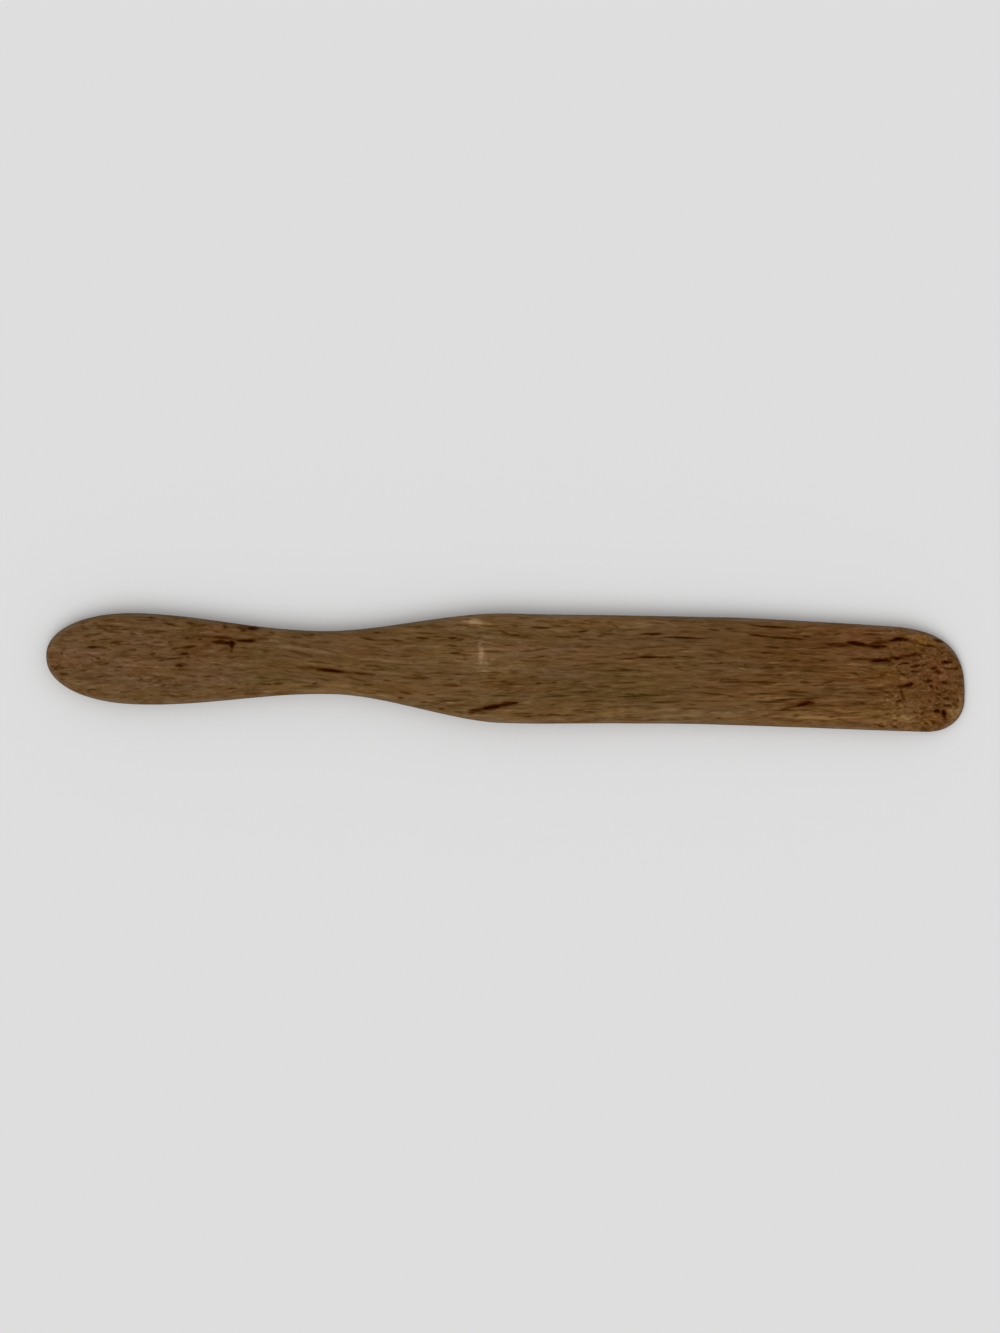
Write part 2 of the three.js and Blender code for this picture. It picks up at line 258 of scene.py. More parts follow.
    (612, 624.8, 619, 627.4, 2.6, 0.5), (509, 635, 520, 635.4, 2.4, 0.45),
    (520, 651.6, 535, 650.6, 2.6, 0.5), (533, 649.8, 549, 648.4, 2.8, 0.6),
    (583, 646.4, 592.4, 646.4, 3, 0.5), (568, 666.8, 581, 665.8, 2.3, 0.4),
    (616, 670.6, 632, 670, 2.8, 0.6), (612, 682.8, 642, 682.2, 2.7, 0.45),
    (537, 698, 563, 695.4, 2.7, 0.5), (515, 696.4, 532, 695.6, 2.4, 0.4),
    (515, 691.6, 526, 689.4, 2.6, 0.5), (543, 693, 553, 690.2, 2.6, 0.45),
    (636, 647.8, 658, 647, 2.4, 0.4), (549, 714, 562, 715.6, 2.8, 0.45),
    (572, 710.8, 586, 709.4, 2.6, 0.45), (549, 706.4, 557, 703.4, 2.6, 0.4),
    (527, 677.6, 539.6, 677.4, 2.8, 0.4), (536, 683.6, 542.4, 682.4, 3, 0.45),
    (551, 682.6, 557.4, 682, 3, 0.5), (572, 682, 583.4, 681, 3, 0.5),
    (509, 672.6, 520, 672, 2.6, 0.4), (497, 684.8, 516, 683.2, 2.6, 0.4),
    (690, 622.6, 697.4, 620.4, 2.3, 0.5), (696, 620.4, 703.4, 622.8, 2.3, 0.5),
    (760, 645.6, 783, 648, 2.7, 0.55), (780, 647.8, 805, 647.4, 2.6, 0.5),
    (738, 643.6, 757, 643.8, 2.3, 0.4), (744, 662.6, 746.4, 667.2, 2.8, 0.5),
    (758, 667.6, 777, 667.8, 3.2, 0.55), (776, 667, 795, 666.6, 2.6, 0.5),
    (748, 656.4, 773, 658.6, 2.6, 0.5), (788, 661.4, 801, 661, 2.7, 0.45),
    (800, 671.2, 813, 670.8, 2.8, 0.55), (819, 667.2, 830, 667.8, 2.9, 0.6),
    (776, 674.4, 783.4, 674.8, 3, 0.5), (718, 682.6, 724.4, 677.2, 2.6, 0.5),
    (799, 682, 809.4, 682, 3, 0.65), (698, 688.8, 733, 688.6, 2.3, 0.4),
    (727, 695.8, 735, 696.6, 3, 0.55), (748, 694.6, 757, 694.8, 3.2, 0.45),
    (760, 693.6, 777, 694.2, 2.8, 0.5), (758, 697.6, 766, 698, 2.7, 0.5),
    (775, 699.4, 794, 698.8, 3, 0.65), (780, 690.8, 798, 691, 2.5, 0.4),
    (777, 710.8, 792, 708.4, 2.6, 0.45), (763, 715.2, 782, 713, 2.8, 0.5),
    (792, 716.6, 798.6, 716.2, 3, 0.5), (812, 713.8, 823, 715, 2.5, 0.4),
    (686, 703.4, 697, 705, 2.5, 0.4), (690, 707.4, 697, 709.2, 2.4, 0.4),
    (715, 718, 721.4, 718, 3, 0.45),
]

# Scraped places that show paler wood: path, width and paleness
SCRAPES = [
    ([(480, 641), (479.5, 647), (480, 653)], 4.6, 0.6),
    ([(479.6, 644), (481.4, 653), (481, 665)], 6.6, 0.9), ([(484, 654), (487, 666)], 3.6, 0.5),
    ([(459, 621.8), (470, 621.2), (477, 621.8)], 4.6, 0.65),
    ([(467, 621.4), (476, 621.8), (484, 623.4)], 7.6, 0.9),
    ([(479, 624), (486, 623.4), (493, 623.4)], 5, 0.5),
    ([(476, 667), (483, 671), (487, 678)], 9, 0.25),
    ([(195, 631.5), (215, 633.5), (240, 637), (263, 636.8)], 3.4, 0.45),
    ([(237, 643), (258, 645)], 3.2, 0.35),
    ([(266, 646.5), (292, 647.5), (314, 652), (345, 655.5)], 5, 0.35),
    ([(335, 655), (372, 660), (404, 662.5), (432, 662)], 5, 0.3),
    ([(480, 703), (500, 701)], 3, 0.3), ([(462, 713.5), (470, 713.5)], 4, 0.4),
    ([(943, 665.8), (953, 665.6)], 4.4, 0.65),
    ([(959, 690), (961.5, 703), (957, 714), (951, 721)], 6, 0.55),
    ([(946, 709), (952, 712), (950, 716)], 4.6, 0.4), ([(939, 677), (947, 677.4)], 4.4, 0.35),
    ([(930, 658), (934, 661)], 4, 0.4), ([(945, 657), (952, 657.6)], 4, 0.4),
    ([(943, 687.5), (952, 687)], 3.4, 0.35), ([(943, 702), (951, 702)], 3.2, 0.35),
    ([(921, 661), (927, 660.4)], 3.6, 0.3), ([(905, 637.5), (915, 638.5)], 4.4, 0.4),
    ([(897, 679), (906, 678)], 5, 0.35), ([(898, 715.6), (906, 716.8)], 4.4, 0.5),
    ([(910, 717), (915, 716.6)], 3, 0.4), ([(912, 721), (919, 720.2)], 3.6, 0.45),
    ([(893, 722.6), (900, 722)], 3.4, 0.4), ([(904, 728), (913, 728.6)], 3, 0.4),
    ([(879, 721.4), (893, 724.8)], 3.6, 0.45), ([(880, 718), (893, 718)], 3.4, 0.35),
    ([(951, 716.6), (957, 713)], 4.4, 0.4),
]

# How deep the marks are sunk at most, and how far inside one a spot counts that is near none,
# in millimetres. Then how quickly their strokes narrow towards both ends, and how far a fleck
# runs on beyond each end, as a share of its length.
SPLIT_DEPTH = 0.35
FLECK_DEPTH = 0.06
FAR_OUTSIDE = -2.0
MARK_TAPER = 0.6
FLECK_TAPER = 1.15
FLECK_RUN_ON = 0.2


def srgb(red, green, blue):
    """A colour written as 0 to 255, as linear light."""
    shares = np.array([red, green, blue]) / 255
    return np.where(shares <= 0.04045, shares / 12.92, ((shares + 0.055) / 1.055) ** 2.4)


def ease(share):
    """From 0 to 1, leaving and arriving level."""
    t = np.clip(share, 0, 1)
    return t * t * (3 - 2 * t)


def coming_in(place, start, length, amount=1):
    """0 before the start, easing to the amount over the length, which may run backwards."""
    return amount * ease((place - start) / length)


def bell(offset, width):
    """1 at no offset, falling smoothly to almost nothing at twice the width."""
    return np.exp(-((offset / width) ** 2))


def quarter_round(share, fullness):
    """A quarter of a rounded corner, from 1 at its start to 0 at its end."""
    return (1 - np.clip(share, 0, 1) ** fullness) ** (1 / fullness)


def along_stations(x, stations):
    """A value that is level at each station and eases from one to the next."""
    places, values = np.array(stations, float).T
    i = np.clip(np.searchsorted(places, x) - 1, 0, len(places) - 2)
    share = ease((x - places[i]) / (places[i + 1] - places[i]))
    return values[i] + (values[i + 1] - values[i]) * share


def edge_at(x, stations, corner_length, fullness):
    """An edge's place across, drawn in to one point at each end."""
    side = along_stations(x, stations)
    grip_end = quarter_round(1 - x / GRIP_END_LENGTH, GRIP_END_FULLNESS)
    rounded = GRIP_END_OFFSET + (side - GRIP_END_OFFSET) * grip_end
    corner = quarter_round((x - LENGTH + corner_length) / corner_length, fullness)
    return TIP_OFFSET + (rounded - TIP_OFFSET) * corner


def ridge_height(x):
    """Height of the upper face along the middle of the piece."""
    drop = np.clip(1 - x / GRIP_END_LENGTH, 0, 1)
    domed = along_stations(x, RIDGE) - GRIP_END_DROP * drop**2
    bevel = np.clip((x - LENGTH + BEVEL_LENGTH) / BEVEL_LENGTH, 0, 1)
    return domed - (domed - TIP_THICKNESS) * bevel**BEVEL_ROUNDNESS


def blade_share(x):
    """Share of the way from the grip's section to the blade's."""
    neck, shoulder = LEFT_EDGE[1][0], LEFT_EDGE[2][0]
    return coming_in(x, neck, shoulder - neck)


def upper_face(x, y):
    """Height of the upper face, which is crowned across."""
    left, right = along_stations(x, LEFT_EDGE), along_stations(x, RIGHT_EDGE)
    from_middle = (y - (left + right) / 2) / ((left - right) / 2)
    crown = GRIP_CROWN + (BLADE_CROWN - GRIP_CROWN) * blade_share(x)
    ridge = ridge_height(x)
    return ridge - crown * np.minimum(ridge / GRIP_THICKNESS, 1) * from_middle**2


def places_along():
    """Places along the piece, closer together where the outline turns at both ends."""
    turns = np.linspace(0, QUARTER, GRIP_END_STEPS, endpoint=False)
    grip_end = GRIP_END_LENGTH * (1 - np.cos(turns))
    corner_start = LENGTH - LEFT_CORNER_LENGTH
    middle = np.linspace(GRIP_END_LENGTH, corner_start, BODY_STEPS, endpoint=False)
    tip = corner_start + LEFT_CORNER_LENGTH * np.sin(np.linspace(0, QUARTER, TIP_STEPS + 1))
    return np.concatenate([grip_end, middle, tip])


def rings_of(loop):
    """Rings of points round the outline, from the upper face's border down to the underside's."""
    along = np.roll(loop, -1, 0) - np.roll(loop, 1, 0)
    along /= np.linalg.norm(along, axis=1, keepdims=True)
    inward = np.column_stack([along[:, 1], -along[:, 0]])
    upper_rim = GRIP_RIM + (BLADE_RIM - GRIP_RIM) * blade_share(loop[:, 0])
    border = loop + inward * upper_rim[:, None]
    wall = upper_face(border[:, 0], border[:, 1])
    upper_drop = np.minimum(upper_rim, wall * RIM_WALL_SHARE)
    under_drop = np.minimum(UNDERSIDE_RIM, wall * RIM_WALL_SHARE)

    rings = []
    for angle in np.linspace(QUARTER, 0, RIM_STEPS + 1):
        place = loop + inward * (upper_rim * (1 - math.cos(angle)))[:, None]
        rings.append(np.column_stack([place, wall - upper_drop * (1 - math.sin(angle))]))
    for step in range(1, WALL_STEPS):
        share = step / WALL_STEPS
        height = (wall - upper_drop) * (1 - share) + under_drop * share
        rings.append(np.column_stack([loop, height]))
    for angle in np.linspace(0, QUARTER, UNDERSIDE_RIM_STEPS + 1):
        place = loop + inward * UNDERSIDE_RIM * (1 - math.cos(angle))
        rings.append(np.column_stack([place, under_drop * (1 - math.sin(angle))]))
    return np.array(rings)


def face_points(ring, columns, steps):
    """The points of a face inside its ring, in rows that cross from the left edge to the right."""
    left = ring[1 : columns - 1]
    right = ring[: columns - 1 : -1]
    shares = (np.arange(1, steps) / steps)[None, :, None]
    return left[:, None, :] * (1 - shares) + right[:, None, :] * shares


def crossing_rows(columns, loop_size, ring_start, inner_start, steps):
    """Point numbers of a face's rows. The first and the last are a single point."""
    rows = [[ring_start] * (steps + 1)]
    for i in range(1, columns - 1):
        first = inner_start + (i - 1) * (steps - 1)
        rows.append([ring_start + i, *range(first, first + steps - 1), ring_start + loop_size - i])
    rows.append([ring_start + columns - 1] * (steps + 1))
    return np.array(rows)


def joined(rows, flip):
    """The four corners of each face between neighbouring rows."""
    corners = [rows[:-1, :-1], rows[:-1, 1:], rows[1:, 1:], rows[1:, :-1]]
    return np.stack(corners[::-1] if flip else corners, -1).reshape(-1, 4)


def carved_form():
    """The points of the surface, its faces, and each face's corners on the bake map."""
    x = places_along()
    left = edge_at(x, LEFT_EDGE, LEFT_CORNER_LENGTH, LEFT_CORNER_FULLNESS)
    right = edge_at(x, RIGHT_EDGE, RIGHT_CORNER_LENGTH, RIGHT_CORNER_FULLNESS)
    columns = len(x)
    loop = np.concatenate([np.column_stack([x, left]), np.column_stack([x, right])[-2:0:-1]])
    loop_size = len(loop)
    rings = rings_of(loop)
    upper = face_points(rings[0], columns, CROSS_STEPS)
    upper[..., 2] = upper_face(upper[..., 0], upper[..., 1])
    under = face_points(rings[-1], columns, UNDERSIDE_STEPS)
    points = np.concatenate([rings.reshape(-1, 3), upper.reshape(-1, 3), under.reshape(-1, 3)])

    upper_start = len(rings) * loop_size
    under_start = upper_start + upper.shape[0] * upper.shape[1]
    upper_rows = crossing_rows(columns, loop_size, 0, upper_start, CROSS_STEPS)
    under_ring = upper_start - loop_size
    under_rows = crossing_rows(columns, loop_size, under_ring, under_start, UNDERSIDE_STEPS)
    round_rows = np.arange(upper_start).reshape(len(rings), loop_size)
    left_rows = round_rows[:, :columns]
    right_rows = np.concatenate([round_rows[:, columns - 1 :], round_rows[:, :1]], 1)

    steps = np.linalg.norm(np.roll(loop, -1, 0) - loop, axis=1)
    run = np.concatenate([[0], np.cumsum(steps)])
    left_run = run[:columns] / run[columns - 1]
    right_run = (run[-1] - run[columns - 1 :]) / (run[-1] - run[columns - 1])

    def face_map(rows, low, high):
        across = (points[rows, 1] - right.min()) / (left.max() - right.min())
        return np.stack([points[rows, 0] / LENGTH, low + (high - low) * across], -1)

    def band_map(runs, low, high):
        down = np.linspace(low, high, len(rings))
        return np.stack(np.broadcast_arrays(runs[None, :], down[:, None]), -1)

    faces, corners = [], []
    for rows, spots, flip in (
        (upper_rows, face_map(upper_rows, *UPPER_BAND), False),
        (under_rows, face_map(under_rows, *UNDER_BAND), True),
        (left_rows, band_map(left_run, *LEFT_BAND), False),
        (right_rows, band_map(right_run, *RIGHT_BAND), False),
    ):
        places = joined(np.arange(rows.size).reshape(rows.shape), flip).tolist()
        numbers, spots = rows.ravel().tolist(), spots.reshape(-1, 2).tolist()
        for four in places:
            kept = [p for k, p in enumerate(four) if numbers[p] != numbers[four[k - 1]]]
            faces.append([numbers[p] for p in kept])
            corners.extend(spots[p] for p in kept)
    return points, faces, corners, loop


def in_photo(x, y):
    """The place on the piece, along and across, that a photograph's pixel shows."""
    right, down = x - PHOTO_WIDTH / 2, y - PHOTO_HEIGHT / 2
    turn_cos, turn_sin = math.cos(PHOTO_TURN), math.sin(PHOTO_TURN)
    offset = np.array([turn_cos * right + turn_sin * down, turn_sin * right - turn_cos * down])
    return PHOTO_CENTRE + MM_PER_PIXEL * offset


def stroke(spots, path, width, taper):
    """How far each spot lies inside a brush stroke along the path, less than 0 outside it."""
    lengths = np.linalg.norm(np.diff(path, axis=0), axis=1)
    before = np.cumsum(lengths) - lengths
    inside = np.full(len(spots), FAR_OUTSIDE)
    for start, end, length, run in zip(path[:-1], path[1:], lengths, before):
        share = np.clip((spots - start) @ (end - start) / length**2, 0, 1)
        away = np.linalg.norm(spots - start - share[:, None] * (end - start), axis=1)
        done = (run + share * length) / lengths.sum()
        half_width = width / 2 * (4 * done * (1 - done)) ** taper
        inside = np.maximum(inside, half_width - away)
    return inside


def strokes(spots, marks, taper=MARK_TAPER):
    """The deepest of all marks at each spot, as (how far inside, the mark's further values)."""
    deepest = np.full(len(spots), FAR_OUTSIDE)
    values = np.zeros((len(spots), len(marks[0]) - 2))
    for path, width, *rest in marks:
        path = np.array([in_photo(x, y) for x, y in path])
        inside = stroke(spots, path, width * MM_PER_PIXEL, taper)
        values[inside > deepest] = rest
        deepest = np.maximum(deepest, inside)
    return deepest, values.T


def fleck_marks():
    """The flecks as marks with a path, which runs on beyond both ends so that they fade out."""
    marks = []
    for x0, y0, x1, y1, width, dark in FLECKS:
        longer = FLECK_RUN_ON * np.array([x1 - x0, y1 - y0])
        marks.append(([(x0, y0) - longer, (x1, y1) + longer], width, dark))
    return marks


# Uneven fields over the piece: each one's height, the size of its lumps along, across and upward
# in millimetres, and its seed
GRAIN_WAVE = (0.55, (34, 9, 9), 1)
GRAIN_RIPPLE = (0.18, (9, 4, 4), 2)
WEAR_AND_SHEEN_WIDTH_CHANGE = (0.6, (14, 14, 14), 3)
GRAIN_LIFT = (0.4, (40, 12, 12), 4)
HAND_SWELL = (0.10, (26, 12, 12), 5)
HAND_CUTS = (0.04, (9, 3, 3), 6)
RAISED_FIBRES = (0.018, (6, 0.8, 0.8), 7)
END_RAGGEDNESS = (5, (9, 4, 4), 8)
RED_PATCHES = (0.06, (22, 6, 6), 9)
STAINS_AND_PAINTED_LIGHT_BREAKS = (1, (7, 1.6, 1.6), 12)
RED_STREAKS = (0.05, (9, 2, 2), 13)
YELLOW_STREAKS = (0.08, (8, 2, 2), 14)
YELLOW_PATCHES = (0.18, (22, 6, 6), 15)
SEED_STRIDE = 7.31


def rough(points, field):
    """Smooth noise at points, from minus the field's height to plus its height."""
    height, size, seed = field
    shifted = points / size + seed * SEED_STRIDE
    return height * np.array([noise.noise(Vector(p)) for p in shifted.tolist()])


# Wear of the rims, with painted sheen on them: how far in from the outline it goes, in
# millimetres, up to which share of that it is full, and from which slope and over which range of
# slopes it leaves the upright wall
WEAR_AND_SHEEN_WIDTH = 1.25
WEAR_AND_SHEEN_FULL_SHARE = 0.25
WEAR_AND_SHEEN_SLOPE = 0.05
WEAR_AND_SHEEN_SLOPE_RANGE = 0.35


def rim_mask(points, normals, loop):
    """1 on the rounding of both faces' rims, worn and with painted sheen, fading on the faces and
    on the wall.
    """
    tree = kdtree.KDTree(len(loop))
    for i, (x, y) in enumerate(loop):
        tree.insert((x, y, 0), i)
    tree.balance()
    inside = np.array([tree.find((x, y, 0))[2] for x, y in points[:, :2]])
    wear_and_sheen_width = WEAR_AND_SHEEN_WIDTH + rough(points, WEAR_AND_SHEEN_WIDTH_CHANGE)
    from_border = 1 - ease(inside / wear_and_sheen_width - WEAR_AND_SHEEN_FULL_SHARE)
    off_wall = coming_in(np.abs(normals[:, 2]), WEAR_AND_SHEEN_SLOPE, WEAR_AND_SHEEN_SLOPE_RANGE)
    return from_border * off_wall


# The end grain: how far before the tip it starts, how its border bends towards the tip on both
# sides of a place across, and over what length it comes in
END_LENGTH = 36
END_BOW = 0.12 / 18
END_BOW_MIDDLE = -8
END_BLEND = 14


def end_share(points):
    """1 on the bevel, which is cut across the grain, and 0 on the rest of the upper face."""
    x, y, z = points.T
    bow = END_BOW * (y - END_BOW_MIDDLE) ** 2
    border = LENGTH - END_LENGTH + bow + rough(points, END_RAGGEDNESS)
    return coming_in(x, border, END_BLEND) * ease(z)


# Course of the grain. Its flecks get shorter at the tip and on the grip, where they are coarser
# too: from where, over what length and by how much. It dips beyond the neck, less towards the
# left edge, and along the blade it slowly draws together.
RUN_STEPS = 3000
TIP_SHORTER = (LENGTH - 33, 12, 2.2)
GRIP_SHORTER = (90, -30, 0.35)
GRIP_COARSER = (95, -45, 0.15)
GRAIN_DIP = 4.0
GRAIN_DIP_SLANT = 0.08
GRAIN_DIP_FROM = (68, 50)
GRAIN_RISE = 0.01
GRAIN_RISE_SLANT = 0.0018
GRAIN_RISE_START = 150


def grain_places(points):
    """Where each point lies in the wood: the flecks run along the first number."""
    x, y, z = points.T
    run = np.linspace(0, LENGTH, RUN_STEPS + 1)
    stretch = 1 + coming_in(run, *TIP_SHORTER) + coming_in(run, *GRIP_SHORTER)
    along = np.concatenate([[0], np.cumsum((stretch[1:] + stretch[:-1]) / 2 * np.diff(run))])
    dip = (GRAIN_DIP - GRAIN_DIP_SLANT * y) * coming_in(x, *GRAIN_DIP_FROM)
    rise = (GRAIN_RISE - GRAIN_RISE_SLANT * y) * np.maximum(x - GRAIN_RISE_START, 0)
    wave = rough(points, GRAIN_WAVE) + rough(points, GRAIN_RIPPLE)
    coarser = 1 - coming_in(x, *GRIP_COARSER)
    across = (y + dip - rise + wave) * coarser
    upward = (z + rough(points, GRAIN_LIFT)) * coarser
    return np.column_stack([np.interp(x, run, along), across, upward])


# How strongly the grain shows, (along, strength)
GRAIN_STRENGTH = [(45, 1.12), (90, 0.85), (150, 1.06), (222, 0.92), (246, 1.2), (272, 1.3)]

# Browns of the wood, as red, green and blue from 0 to 255
BODY_BROWN = (95, 69, 41)
GRIP_BROWN = (95, 69, 43)
SHOULDER_BROWN = (100, 74, 46)
TIP_BROWN = (96, 64, 35)
OLIVE = (84, 69, 34)
OCHRE = (100, 66, 26)
GOLD = (104, 76, 34)
RED = (96, 60, 33)
# The rims' pale grey brown: partly wear, partly painted sheen
WORN_AND_SHEEN_BROWN = (110, 94, 77)
CREAM = (114, 87, 53)
DARK = (76, 50, 24)
PINK = (112, 78, 60)
STAIN_BROWN = (74, 34, 8)

# Where the body's brown passes into others, in millimetres along
GRIP_BROWN_FROM = (90, -50)
SHOULDER_BROWN_AT = 136
SHOULDER_BROWN_WIDTH = 30
TIP_BROWN_FROM = (190, 100)

# Stains and painted light lie above this height only, and are broken up round this cover
STAINS_AND_PAINTED_LIGHT_ABOVE = 1
STAINS_AND_PAINTED_LIGHT_COVER = 0.6

# Stains, each round a place in the photograph, with its half sizes there, its colour and strength.
# The cream patches along the lower edge and on the tip's lower corner are partly pale streaks
# and partly painted light falling on the lower side.
STAINS_AND_PAINTED_LIGHT = [
    (934, 721, 13, 6, OCHRE, 0.8), (911, 646, 12, 6, GOLD, 0.6), (920, 637.5, 8, 4, GOLD, 0.9),
    (930, 636, 10, 6, GOLD, 0.6), (856, 722, 18, 4, RED, 0.4), (488, 633, 14, 7, OLIVE, 0.4),
    (497, 696, 16, 3, OLIVE, 0.6), (480, 626, 14, 4, GOLD, 0.4), (210, 627, 16, 5, RED, 0.5),
    (212, 637, 22, 4, RED, 0.8), (244, 632, 16, 4, GOLD, 0.6), (205, 655, 24, 7, RED, 0.4),
    (640, 658, 26, 4, RED, 0.4), (636, 696, 30, 8, OLIVE, 0.4), (300, 634, 30, 6, OLIVE, 0.4),
    # Cream patches at (904, 714), (956, 710), (600, 713), (826, 704) and (655, 712): partly pale
    # streaks, partly painted light on the lower side
    (262, 655, 14, 8, OLIVE, 0.5), (858, 634, 14, 6, RED, 0.4), (904, 714, 26, 12, CREAM, 0.8),
    (956, 710, 8, 13, CREAM, 0.95), (600, 713, 90, 6, CREAM, 0.6), (650, 686, 110, 12, OLIVE, 0.25),
    (860, 676, 34, 10, CREAM, 0.3), (934, 670, 18, 18, RED, 0.5), (826, 704, 80, 17, CREAM, 0.5),
    (796, 645, 64, 6, DARK, 0.7), (745, 690, 40, 12, RED, 0.35), (655, 712, 60, 6, CREAM, 0.6),
    (503, 668, 18, 7, CREAM, 0.5), (350, 645, 70, 12, PINK, 0.15), (856, 627, 12, 3, PINK, 0.15),
    (848, 634, 18, 5, DARK, 0.45), (880, 670, 10, 6, CREAM, 0.35), (829, 682, 10, 4, DARK, 0.35),
    (948, 671, 8, 4, DARK, 0.3), (949, 688, 5, 9, CREAM, 0.3), (930, 695, 8, 5, DARK, 0.3),
    (225, 676, 32, 6, DARK, 0.25), (575, 675, 34, 6, DARK, 0.28), (862, 641, 14, 2.5, PINK, 0.6),
    (910, 656, 14, 4, PINK, 0.45), (911, 678, 5, 5, PINK, 0.35), (938, 713, 9, 5, PINK, 0.45),
    # Cream patches at (318, 688), (812, 718) and (884, 723) along the lower edge: partly pale
    # streaks, partly painted light on the lower side
    (944, 678, 9, 5, PINK, 0.3), (918, 636, 7, 3, PINK, 0.5), (318, 688, 60, 5.5, CREAM, 1.1),
    (812, 718, 56, 7, CREAM, 1), (884, 723, 30, 6, CREAM, 0.7), (330, 672, 60, 14, OCHRE, 0.25),
    (186, 624, 18, 6, OLIVE, 0.5), (268, 678, 26, 7, OLIVE, 0.5), (110, 660, 40, 14, PINK, 0.25),
    (76, 650, 20, 10, PINK, 0.25), (140, 638, 30, 7, PINK, 0.2), (560, 645, 70, 12, PINK, 0.15),
]


def tint_places(points):
    """How the wood's colour drifts over the piece, with some painted light, as shares of its body
    colour.
    """
    along = points[:, 0]
    body = srgb(*BODY_BROWN)
    shades = [
        (GRIP_BROWN, coming_in(along, *GRIP_BROWN_FROM)),
        (SHOULDER_BROWN, bell(along - SHOULDER_BROWN_AT, SHOULDER_BROWN_WIDTH)),
        (TIP_BROWN, coming_in(along, *TIP_BROWN_FROM)),
    ]
    broken = (points[:, 2] > STAINS_AND_PAINTED_LIGHT_ABOVE) * ease(STAINS_AND_PAINTED_LIGHT_COVER + rough(points, STAINS_AND_PAINTED_LIGHT_BREAKS))
    for x, y, half_length, half_width, colour, strength in STAINS_AND_PAINTED_LIGHT:
        half_size = np.array([half_length, half_width]) * MM_PER_PIXEL
        away = np.linalg.norm((points[:, :2] - in_photo(x, y)) / half_size, axis=1)
        shades.append((colour, strength * broken * bell(away, 1)))
    tint = np.ones((len(points), 4))
    for colour, share in shades:
        tint[:, :3] += share[:, None] * (srgb(*colour) / body - 1)
    redder = rough(points, RED_PATCHES) + rough(points, RED_STREAKS)
    yellower = rough(points, YELLOW_PATCHES) + rough(points, YELLOW_STREAKS)
    tint[:, :3] *= 1 + np.column_stack([redder, np.zeros(len(points)), -redder - yellower])
    return tint


# How far a seed moves a pattern, how widely a noise is spread round 0, between which levels a
# dash comes in, and how soft a fleck's edge is
SEED_SHIFT = (3.7, 5.3, 2.9)
NOISE_SPREAD = 4.0
DASH_LEVELS = (0.5, 0.9)
FLECK_SOFTNESS = 0.16


class Graph:
    """A material's nodes, made and linked in one call each. Every value is a number or a socket."""

    def __init__(self, name):
        self.material = bpy.data.materials.new(name)
        self.material.use_nodes = True
        self.tree = self.material.node_tree
        self.shader = self.tree.nodes["Principled BSDF"]

    def node(self, kind, inputs, **settings):
        node = self.tree.nodes.new("ShaderNode" + kind)
        for name, value in settings.items():
            setattr(node, name, value)
        self.feed(node, inputs)
        return node

    def feed(self, node, inputs):
        for name, value in inputs.items():
            if isinstance(value, bpy.types.NodeSocket):
                self.tree.links.new(value, node.inputs[name])
            else:
                node.inputs[name].default_value = value

    def attribute(self, name, output="Fac"):
        return self.node("Attribute", {}, attribute_name=name).outputs[output]

    def math(self, operation, *values):
        return self.node("Math", dict(enumerate(values)), operation=operation).outputs[0]

    def vector(self, operation, *values):
        return self.node("VectorMath", dict(enumerate(values)), operation=operation).outputs[0]

    def product(self, first, second):
        return self.math("MULTIPLY", first, second)

    def total(self, *terms):
        """The sum of all (value, weight) terms."""
        result = 0.0
        for value, weight in terms:
            result = self.math("MULTIPLY_ADD", value, weight, result)
        return result

    def step(self, value, low, high):
        """0 where the value is at low, easing to 1 where it is at high."""
        inputs = {"Value": value, "From Min": low, "From Max": high}
        return self.node("MapRange", inputs, interpolation_type="SMOOTHSTEP").outputs["Result"]

    def mix(self, share, first, second, blend="MIX"):
        inputs = {0: share, 6: first, 7: second}
        return self.node("Mix", inputs, data_type="RGBA", blend_type=blend).outputs[2]

    def pattern_place(self, place, size, seed):
        """The place counted in lumps of that size, and moved by the seed."""
        lumps = self.vector("DIVIDE", place, size)
        return self.vector("ADD", lumps, tuple(seed * shift for shift in SEED_SHIFT))

    def noise(self, place, size, detail, seed):
        """Noise from about -1 to 1 whose lumps have that size."""
        inputs = {"Vector": self.pattern_place(place, size, seed), "Scale": 1.0, "Detail": detail}
        level = self.node("TexNoise", inputs).outputs["Fac"]
        return self.math("MULTIPLY_ADD", level, NOISE_SPREAD, -NOISE_SPREAD / 2)

    def dashes(self, place, size, seed):
        """Irregular dashes along the grain."""
        return self.step(self.noise(place, size, 1.0, seed), *DASH_LEVELS)

    def flecks(self, place, size, share, widest, seed, dimensions="3D"):
        """Lens-shaped flecks of half to full strength, one to a cell in that share of the cells."""
        inputs = {"Vector": self.pattern_place(place, size, seed), "Scale": 1.0}
        cells = self.node("TexVoronoi", inputs, voronoi_dimensions=dimensions)
        chance = self.node("SeparateColor", {0: cells.outputs["Color"]})
        radius = self.product(self.step(chance.outputs[0], 1 - share, 1.0), widest)
        inside = self.math("SUBTRACT", radius, cells.outputs["Distance"])
        strength = self.math("MULTIPLY_ADD", chance.outputs[1], 0.5, 0.5)
        return self.product(self.step(inside, 0.0, FLECK_SOFTNESS), strength)


# The wood's brightness step by step: each step adds the same to red, green and blue
SHADE_STEP = 16
SHADE_TOP = 144
LOWEST_SHADE = 5
LOWEST_BLUE = 3
SHADE_RED = 26
SHADE_BLUE = -29
BODY_SHADE = 68.5

# The light that the lamp's sheen adds to the wood, and the least that a colour keeps without it
SHEEN = 0.0008
LEAST_LIGHT = 0.0005

